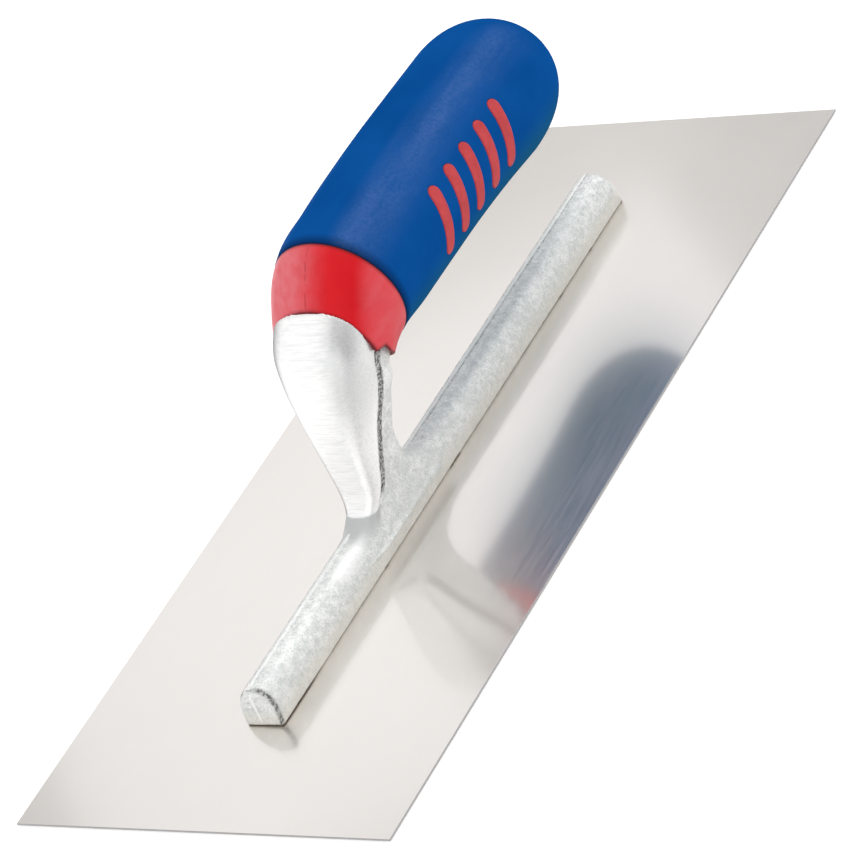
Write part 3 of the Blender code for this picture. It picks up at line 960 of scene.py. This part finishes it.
class Look(Nodes):
    """One Principled material and the nodes that feed it."""

    def __init__(self, name, colour, metallic, roughness):
        self.material = bpy.data.materials.new(name)
        self.material.use_nodes = True
        super().__init__(self.material.node_tree, "Object")
        self.shader = self.nodes["Principled BSDF"]
        self.set("Base Color", colour)
        self.set("Metallic", metallic)
        self.set("Roughness", roughness)

    def set(self, socket, value):
        self.fill(self.shader.inputs[socket], value)

    def stretched(self, scale):
        """Object coordinates scaled per axis, in cycles per metre."""
        return self.node("Mapping", Vector=self.place, Scale=scale).outputs["Vector"]

    def noise(self, scale, detail=3.0, roughness=0.5, vector=None, distortion=0.0):
        numbers = {"Scale": scale, "Detail": detail, "Roughness": roughness, "Distortion": distortion}
        return self.node("TexNoise", Vector=vector or self.place, **numbers).outputs["Fac"]

    def spots(self, scale):
        return self.node("TexVoronoi", Vector=self.place, Scale=scale).outputs["Distance"]

    def mix(self, share, first, second):
        """Colour mix; first and second are colours or outputs."""
        made = self.node("Mix", Factor=share)
        made.data_type = "RGBA"
        self.fill(made.inputs[6], first)
        self.fill(made.inputs[7], second)
        return made.outputs[2]

    def bump(self, height, strength, distance):
        made = self.node("Bump", Height=height, Strength=strength, Distance=distance)
        return made.outputs["Normal"]

    def attribute(self, name):
        made = self.node("Attribute")
        made.attribute_name = name
        return made.outputs["Fac"]

    def separate(self):
        return self.node("SeparateXYZ", Vector=self.place).outputs


def blade_look():
    """Fine ground stainless steel: a sharp reflection over a wide soft one."""
    look = Look("Blade steel", (0.80, 0.77, 0.75), 1.0, 0.34)
    grain = look.noise(1.0, 4.0, 0.6, look.stretched((2600.0, 60.0, 2600.0)))
    cloud = look.noise(14.0, 3.0, 0.5)
    tone = look.mix(look.span(cloud, 0.3, 0.7), (0.80, 0.760, 0.730), (0.85, 0.810, 0.780))
    edges = []
    for place, size in zip(look.separate(), (BLADE_WIDTH, BLADE_LENGTH)):
        bevel = ((size / 2.0 - BLADE_BEVEL) * MM, (size - BLADE_BEVEL) / 2.0 * MM)
        edges.append(look.span(look.math("ABSOLUTE", place, 0.0), *bevel))
    tone = look.mix(look.math("MAXIMUM", *edges), tone, (0.10, 0.10, 0.105))
    look.set("Base Color", tone)
    fine = look.span(grain, 0.3, 0.7, 0.30, 0.38)
    look.set("Roughness", look.math("ADD", fine, look.span(cloud, 0.3, 0.7, -0.02, 0.03)))
    look.set("Coat Weight", 1.0)
    look.set("Coat IOR", 3.2)
    look.set("Coat Roughness", 0.11)
    look.set("Coat Tint", (1.0, 0.985, 0.97))
    look.set("Anisotropic", 0.45)
    tangent = look.node("Tangent")
    tangent.direction_type = "UV_MAP"
    tangent.uv_map = "brush"
    look.set("Tangent", tangent.outputs["Tangent"])
    look.set("Normal", look.bump(grain, 0.02, 0.00002))
    return look.material


def casting_look():
    """Tumbled aluminium, ground bright on the front of the gooseneck, with painted shade, painted
    highlights and a painted reflection of the blade low on the bar.
    """
    look = Look("Cast aluminium", (0.74, 0.755, 0.74), 1.0, 0.45)
    ground = look.attribute("ground")
    cast_share = look.math("SUBTRACT", 1.0, ground)
    mottle = look.noise(540.0, 7.0, 0.74, distortion=0.2)
    speck = look.noise(1300.0, 3.0, 0.6)
    z = look.separate()["Z"]
    cast = look.mix(look.span(mottle, 0.36, 0.64), (0.68, 0.71, 0.695), (0.985, 0.99, 0.975))
    patches = (
        (look.noise(110.0, 3.0, 0.55), 0.40, 0.66, 0.50, (0.71, 0.735, 0.72)),
        (look.noise(160.0, 3.0, 0.5), 0.52, 0.68, 0.50, (0.99, 0.99, 0.985)),
        (look.noise(700.0, 4.0, 0.7), 0.56, 0.66, 0.75, (1.0, 1.0, 0.99)),
        (look.noise(2300.0, 2.0, 0.6), 0.46, 0.68, 0.42, (0.42, 0.44, 0.43)),
    )
    for grain, low, high, most, tint in patches:
        cast = look.mix(look.span(grain, low, high, 0.0, most), cast, tint)
    # Painted reflection of the blade: beige tint low on the bar's flanks.
    cast = look.mix(look.span(z, 0.0020, 0.0070, 0.55, 0.0), cast, (0.80, 0.775, 0.69))
    # Painted shade on the fillet under the ground face.
    cast = look.mix(look.attribute("shade"), cast, (0.54, 0.56, 0.555))
    # Flash layer colour: dark mould flash, and painted shade on the bead, shoulder, toe fillet and
    # seam step.
    dark = look.mix(look.span(speck, 0.40, 0.60), (0.06, 0.06, 0.058), (0.50, 0.50, 0.485))
    cast = look.mix(look.attribute("flash"), cast, dark)
    scratch = look.noise(1.0, 4.0, 0.75, look.stretched((90.0, 1500.0, 1900.0)))
    bright = look.mix(look.span(scratch, 0.34, 0.60), (0.86, 0.875, 0.865), (1.0, 1.0, 0.995))
    # Painted shade and painted reflection on the sides of the ground face, from the roll layer.
    bright = look.mix(look.attribute("roll"), bright, (0.09, 0.10, 0.095))
    # Ground layer: the bright ground face, plus painted highlights on the bead top and on the bar
    # ahead of the neck.
    colour = look.mix(ground, cast, bright)
    colour = look.mix(crease_darkening(look), colour, (0.16, 0.125, 0.075))
    look.set("Base Color", colour)
    look.set("Metallic", look.span(ground, 0.0, 1.0, 0.35, 0.5))
    rough = look.times(cast_share, look.span(mottle, 0.3, 0.7, 0.46, 0.62))
    shine = look.times(ground, look.span(scratch, 0.3, 0.7, 0.30, 0.44))
    look.set("Roughness", look.math("ADD", rough, shine))
    look.set("Anisotropic", 0.6)
    look.set("Anisotropic Rotation", 0.25)
    tangent = look.node("Tangent")
    tangent.direction_type = "RADIAL"
    tangent.axis = "Z"
    look.set("Tangent", tangent.outputs["Tangent"])
    skin = look.math("ADD", look.times(mottle, 0.9), look.times(speck, 0.25))
    relief = look.math("ADD", look.times(skin, cast_share), look.times(scratch, ground, 0.10))
    look.set("Normal", look.bump(relief, 0.45, 0.00020))
    return look.material


def crease_darkening(look):
    """Share of darker brown colour low on the bar at the crease with the blade, in short runs, and
    along it near the toe.
    """
    place = look.separate()
    low = look.span(place["Z"], 0.0009, 0.0013, 1.0, 0.0)
    runs = look.noise(1.0, 3.0, 0.65, look.stretched((1.0, 75.0, 1.0)))
    fine = look.noise(500.0, 3.0, 0.6)
    runs = look.math("ADD", runs, look.times(look.math("SUBTRACT", fine, 0.5), 0.25))
    runs = look.times(low, look.span(runs, 0.56, 0.64, 0.0, 0.7))
    toe = look.times(low, look.span(place["Y"], -0.090, -0.082, 0.9, 0.0))
    return look.math("MAXIMUM", runs, toe)


def red_look():
    """Satin moulded hard plastic with a painted pale sheen on its sides, a mould line, and painted
    shade at the collar's edges.
    """
    look = Look("Red hard plastic", (0.60, 0.011, 0.019), 0.0, 0.36)
    cloud = look.noise(90.0, 3.0, 0.5)
    x, y, z = look.separate()
    colour = look.mix(look.span(cloud, 0.3, 0.7), (0.60, 0.008, 0.014), (0.67, 0.012, 0.019))
    streak = look.noise(1.0, 3.0, 0.6, look.stretched((420.0, 90.0, 420.0)))
    # Painted sheen: paler red on the left and right sides, ahead of the joint.
    left = look.span(x, -0.007, 0.0075, 1.0, 0.0)
    right = look.span(x, 0.0120, 0.0170, 0.0, 0.5)
    ahead = look.span(y, -0.006, -0.004, 1.0, 0.0)
    sides = look.math("MAXIMUM", left, right)
    painted_sheen = look.times(sides, look.span(streak, 0.3, 0.7, 0.7, 1.0), ahead)
    colour = look.mix(painted_sheen, colour, (0.71, 0.165, 0.190))
    line = look.span(look.math("ABSOLUTE", x, 0.0), 0.00005, 0.00035, 0.30, 0.0)
    broken = look.span(look.noise(420.0, 3.0, 0.6), 0.40, 0.56)
    line = look.times(line, look.span(z, 0.058, 0.066), broken)
    # Dark mould line on top, and painted shade along the collar's front edge and joint from the edge
    # layer.
    mould_line_and_edge_shade = look.math("MAXIMUM", line, look.times(look.attribute("edge"), 0.8))
    colour = look.mix(mould_line_and_edge_shade, colour, (0.06, 0.006, 0.008))
    look.set("Base Color", colour)
    grain = look.noise(2600.0, 2.0, 0.5)
    look.set("Roughness", look.span(look.noise(300.0, 3.0, 0.6), 0.3, 0.7, 0.30, 0.42))
    look.set("Specular IOR Level", 0.10)
    look.set("Normal", look.bump(grain, 0.08, 0.00005))
    return look.material


def inlay_look():
    """Duller, slightly faded version of the red for the inlay bars."""
    look = Look("Faded red inlay", (0.50, 0.05, 0.055), 0.0, 0.5)
    cloud = look.noise(260.0, 4.0, 0.6)
    colour = look.mix(look.span(cloud, 0.3, 0.7), (0.46, 0.042, 0.048), (0.56, 0.062, 0.068))
    look.set("Base Color", colour)
    look.set("Roughness", look.span(cloud, 0.3, 0.7, 0.45, 0.6))
    look.set("Specular IOR Level", 0.15)
    look.set("Normal", look.bump(look.noise(2600.0, 2.0, 0.5), 0.12, 0.00005))
    return look.material


def blue_look():
    """Matte soft rubber: fine moulded grain, a painted pale highlight on top, painted shade
    underneath and at the joint.
    """
    look = Look("Blue soft rubber", (0.003, 0.078, 0.325), 0.0, 0.58)
    cloud = look.noise(60.0, 3.0, 0.5)
    x, y, z = look.separate()
    colour = look.mix(look.span(cloud, 0.3, 0.7), (0.0026, 0.066, 0.270), (0.0040, 0.077, 0.305))
    right = look.times(
        look.span(x, 0.0035, 0.0110),
        look.span(x, 0.0115, 0.0185, 1.0, 0.0),
        look.span(y, 0.076, 0.092, 1.0, 0.0),
    )
    left = look.times(
        look.span(x, -0.0150, -0.0115, 0.0, 0.45),
        look.span(x, -0.0105, -0.0070, 1.0, 0.0),
        look.span(y, 0.0, 0.05, 1.0, 0.3),
    )
    highlight_streaks = look.noise(1.0, 4.0, 0.6, look.stretched((160.0, 36.0, 160.0)))
    # Painted highlight: pale bands along the top, broken up by streaks.
    painted_pale_highlight = look.times(
        look.math("MAXIMUM", right, left),
        look.span(z, 0.060, 0.070),
        look.span(look.noise(1100.0, 3.0, 0.7), 0.36, 0.62, 0.62, 1.0),
        look.span(highlight_streaks, 0.30, 0.70, 0.35, 1.0),
    )
    colour = look.mix(painted_pale_highlight, colour, (0.048, 0.126, 0.362))
    # Painted shade underneath the grip.
    colour = look.mix(look.span(z, 0.044, 0.058, 0.85, 0.0), colour, (0.014, 0.110, 0.195))
    # Painted shade at the joint with the collar.
    colour = look.mix(look.times(look.attribute("edge"), 0.75), colour, (0.003, 0.012, 0.050))
    look.set("Base Color", colour)
    grain = look.noise(3200.0, 3.0, 0.65)
    height = look.math("ADD", grain, look.times(look.spots(2100.0), 0.7))
    look.set("Roughness", look.span(grain, 0.3, 0.7, 0.50, 0.66))
    look.set("Normal", look.bump(height, 0.35, 0.00012))
    look.set("Specular IOR Level", 0.0)
    look.set("IOR", 1.05)
    return look.material


def fastener_look(name, colour, roughness):
    """Turned or ground steel with fine rings of wear."""
    look = Look(name, colour, 1.0, roughness)
    grain = look.noise(900.0, 4.0, 0.6)
    dull = tuple(c * 0.86 for c in colour)
    look.set("Base Color", look.mix(look.span(grain, 0.3, 0.7), dull, colour))
    look.set("Roughness", look.span(grain, 0.3, 0.7, roughness - 0.05, roughness + 0.1))
    look.set("Normal", look.bump(grain, 0.12, 0.00005))
    return look.material


def floor_look():
    """Plain pale studio floor."""
    look = Look("Studio floor", (0.95, 0.95, 0.95), 0.0, 0.9)
    tone = look.noise(3.0, 2.0, 0.5)
    look.set("Base Color", look.mix(tone, (0.945, 0.945, 0.945), (0.955, 0.955, 0.955)))
    look.set("Specular IOR Level", 0.0)
    look.set("Emission Color", (1.0, 1.0, 1.0))
    look.set("Emission Strength", 0.28)
    return look.material


# -------------------- studio


def studio_floor():
    """Wide floor just under the blade."""
    bm = bmesh.new()
    bmesh.ops.create_grid(bm, x_segments=8, y_segments=8, size=4.0)
    bmesh.ops.translate(bm, vec=(0.0, 0.0, -0.0002), verts=bm.verts)
    mesh = bpy.data.meshes.new("floor")
    bm.to_mesh(mesh)
    bm.free()
    new_object("floor", mesh, floor_look())


def camera():
    """Camera ahead of the toe, to the right and above."""
    data = bpy.data.cameras.new("camera")
    data.lens = CAMERA_LENS
    data.sensor_width = 36.0
    data.clip_start = 0.01
    data.clip_end = 20.0
    made = new_object("camera", data)
    turn = Matrix((CAMERA_RIGHT, CAMERA_UP, CAMERA_BACK)).transposed().to_4x4()
    made.matrix_world = Matrix.Translation(Vector(CAMERA_PLACE) * MM) @ turn
    bpy.context.scene.camera = made


def area_light(name, place, target, size, power, roll):
    """Soft box at place, aimed at target and rolled, in metres, watts and degrees."""
    data = bpy.data.lights.new(name, "AREA")
    data.shape = "RECTANGLE"
    data.size, data.size_y = size
    data.energy = power
    made = new_object(name, data)
    made.location = place
    aim = (Vector(target) - Vector(place)).to_track_quat("-Z", "Y").to_matrix()
    made.rotation_euler = (aim @ Matrix.Rotation(math.radians(roll), 3, "Z")).to_euler()


def sky_lobe(sky, centre, inner, outer, depth):
    """Factor that falls to 1 - depth within inner degrees of a direction of the sky."""
    dot = sky.node("VectorMath")
    dot.operation = "DOT_PRODUCT"
    sky.fill(dot.inputs[0], sky.place)
    sky.fill(dot.inputs[1], Vector(centre).normalized())
    far, near = math.cos(math.radians(outer)), math.cos(math.radians(inner))
    return sky.span(dot.outputs["Value"], far, near, 1.0, 1.0 - depth)


def studio_light():
    """White tent with darker openings, a back panel, a top box and a weak front box."""
    world = bpy.data.worlds.new("studio")
    world.use_nodes = True
    bpy.context.scene.world = world
    sky = Nodes(world.node_tree, "Generated")
    strength = sky.times(*[sky_lobe(sky, *lobe) for lobe in SKY_LOBES])
    back = sky.nodes["Background"]
    sky.fill(back.inputs["Color"], (1.0, 1.0, 1.0))
    sky.fill(back.inputs["Strength"], strength)
    area_light("back panel", (-0.50, 0.49, 0.484), (-0.50, 0.49, 0.0), (0.37, 0.37), 0.26, 45.0)
    area_light("top box", (0.1, 0.55, 1.2), (0.0, 0.0, 0.03), (1.0, 1.0), 4.0, 0.0)
    area_light("front box", (0.3, -1.1, 0.4), (0.0, -0.04, 0.03), (0.7, 0.7), 1.5, 0.0)
    bpy.context.scene.view_settings.view_transform = "Standard"


# -------------------- assembly


def place_piece(piece, slot, *nodes):
    """Let a piece ride on the body and hide the CAD nodes it stands for; slot is not used."""
    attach(piece, "root")
    if nodes:
        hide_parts(*nodes)


def main():
    place_piece(blade_plate(blade_look()), "blade_steel", "blade")
    cast = casting_look()
    for piece in [mounting_casting(cast)] + parting_beads(cast):
        place_piece(piece, "cast_aluminium", "mounting_casting")
    red = red_look()
    place_piece(handle_core(red), "core_plastic", "handle_core")
    faded = inlay_look()
    for number, row in enumerate(INLAYS, start=1):
        inlay = inlay_mesh(f"inlay_{number}", row, 0.0, INLAY_RISE, INLAY_DEPTH)
        piece = new_object(f"inlay_bar_{number}", inlay, faded)
        place_piece(piece, "core_plastic", "handle_core")
    place_piece(grip_sleeve(blue_look()), "grip_rubber", "soft_grip")
    place_piece(rear_plug(red), "core_plastic", "end_plug")
    rivet_steel = fastener_look("Rivet steel", (0.70, 0.70, 0.69), 0.28)
    bolt_steel = fastener_look("Zinc plated steel", (0.62, 0.62, 0.60), 0.34)
    for name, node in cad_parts.items():
        steel = rivet_steel if name.startswith("rivet_") else bolt_steel
        if steel is rivet_steel or name in ("tang_bolt", "bolt_washer"):
            node.data.materials.clear()
            node.data.materials.append(steel)
    studio_floor()
    camera()
    studio_light()


main()
